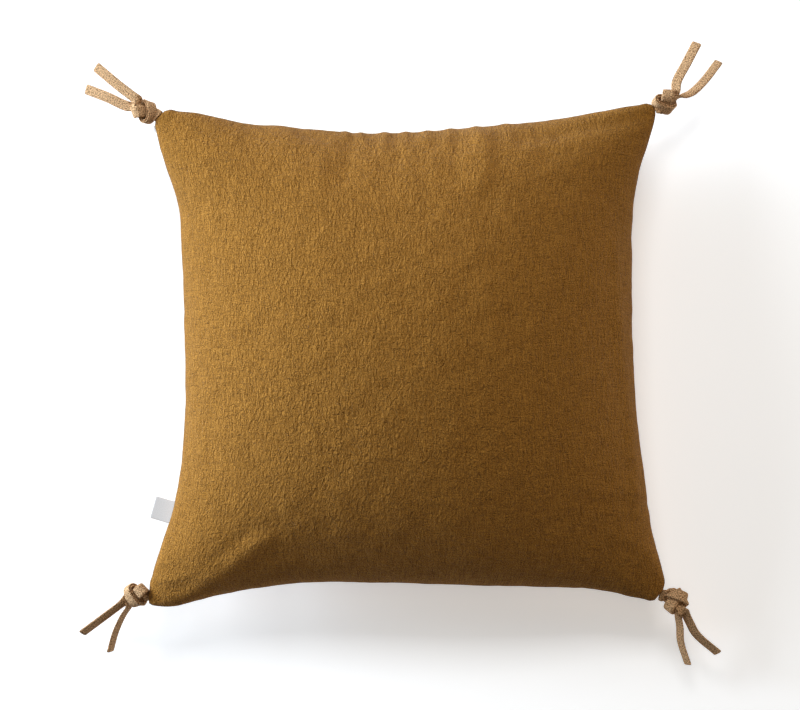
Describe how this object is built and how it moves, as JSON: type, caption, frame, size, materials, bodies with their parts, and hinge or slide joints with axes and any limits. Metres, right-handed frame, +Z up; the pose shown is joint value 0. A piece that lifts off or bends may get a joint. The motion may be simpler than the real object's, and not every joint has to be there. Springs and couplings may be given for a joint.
{
  "type": "throw cushion",
  "caption": "Square filled throw cushion in washed linen, lying on its back, with a high crown, drawn-in sides and a knotted flat tape tie with free tails at each corner.",
  "frame": {"origin": "on the floor under the middle of the whole object's bounding box, ties included", "axes": "+Z up, square to the crowned front panel; +Y towards the top side of the cushion; +X towards its right side, away from the labels"},
  "size_m": [0.565, 0.5465, 0.1482],
  "materials": {
    "linen": "washed plain-weave linen in ochre brown, matt, slubbed and softly crinkled",
    "braid": "flat braided flax tape, undyed beige, matt",
    "label": "folded woven label tape, grey-white, bare"
  },
  "bodies": {
    "root": {"cushion": "linen", "tie_top_left": "braid", "tie_top_right": "braid", "tie_bottom_left": "braid", "tie_bottom_right": "braid", "side_label": "label", "care_label": "label"}
  },
  "joints": []
}
